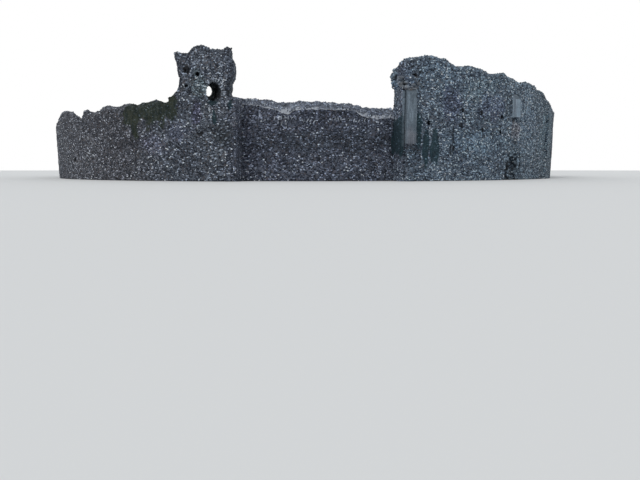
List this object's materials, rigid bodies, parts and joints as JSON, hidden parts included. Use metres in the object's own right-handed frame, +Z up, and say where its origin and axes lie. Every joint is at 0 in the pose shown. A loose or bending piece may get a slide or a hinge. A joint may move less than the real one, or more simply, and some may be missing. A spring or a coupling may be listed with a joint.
{
  "type": "half-scale (1:2) ruined shell keep, ring wall of a castle",
  "caption": "Ruined circular shell keep of flint rubble walls with broken tops, a tall tower fragment with an oval window, dressed pilasters and a gateway, at half scale.",
  "frame": {"origin": "centre of the ring, on the plane of the lowest ground that the walls stand on", "axes": "+Z up; the pictured side faces -Y; +X is to the right of someone who looks at that side"},
  "size_m": [25.0958, 24.8346, 4.3371],
  "materials": {
    "flint_left": "grey flint rubble in lime mortar, moss stained",
    "flint_tower": "grey flint rubble in lime mortar",
    "flint_low": "dark purple-grey flint rubble, pale weathered top",
    "flint_high": "bluish grey flint rubble in lime mortar",
    "flint_rear": "grey flint rubble in lime mortar",
    "dressed_stone": "smooth weathered blue-grey ashlar",
    "brown_stone": "rough brownish rubble"
  },
  "bodies": {
    "root": {"left_curtain_1": "flint_left", "left_curtain_2": "flint_left", "left_curtain_3": "flint_left", "tower_foot": "flint_tower", "tower_head": "flint_tower", "low_curtain_1": "flint_low", "low_curtain_2": "flint_low", "high_curtain_1": "flint_high", "high_curtain_2": "flint_high", "high_curtain_3": "flint_high", "high_curtain_4": "flint_high", "rear_curtain_1": "flint_rear", "rear_curtain_2": "flint_rear", "rear_curtain_3": "flint_rear", "rear_curtain_4": "flint_rear", "rear_curtain_5": "flint_rear", "rear_curtain_6": "flint_rear", "rear_curtain_7": "flint_rear", "rear_curtain_8": "flint_rear", "rear_curtain_9": "flint_rear", "rear_curtain_10": "flint_rear", "rear_curtain_11": "flint_rear", "rear_curtain_12": "flint_rear", "rear_curtain_13": "flint_rear", "rear_curtain_14": "flint_rear", "gate_wall_left": "flint_rear", "gate_wall_right": "flint_rear", "gate_wall_over": "flint_rear", "gate_arch": "dressed_stone", "gate_jamb_left": "dressed_stone", "gate_jamb_right": "dressed_stone", "pilaster_1": "dressed_stone", "pilaster_1_foot": "brown_stone", "pilaster_1_head": "brown_stone", "pilaster_2": "dressed_stone", "pilaster_3": "dressed_stone", "rear_pilaster_1": "dressed_stone", "rear_pilaster_2": "dressed_stone", "rear_pilaster_3": "dressed_stone", "rear_pilaster_4": "dressed_stone", "rear_pilaster_5": "dressed_stone", "rear_pilaster_6": "dressed_stone", "rear_pilaster_7": "dressed_stone", "rear_pilaster_8": "dressed_stone", "rear_pilaster_9": "dressed_stone"}
  },
  "joints": []
}
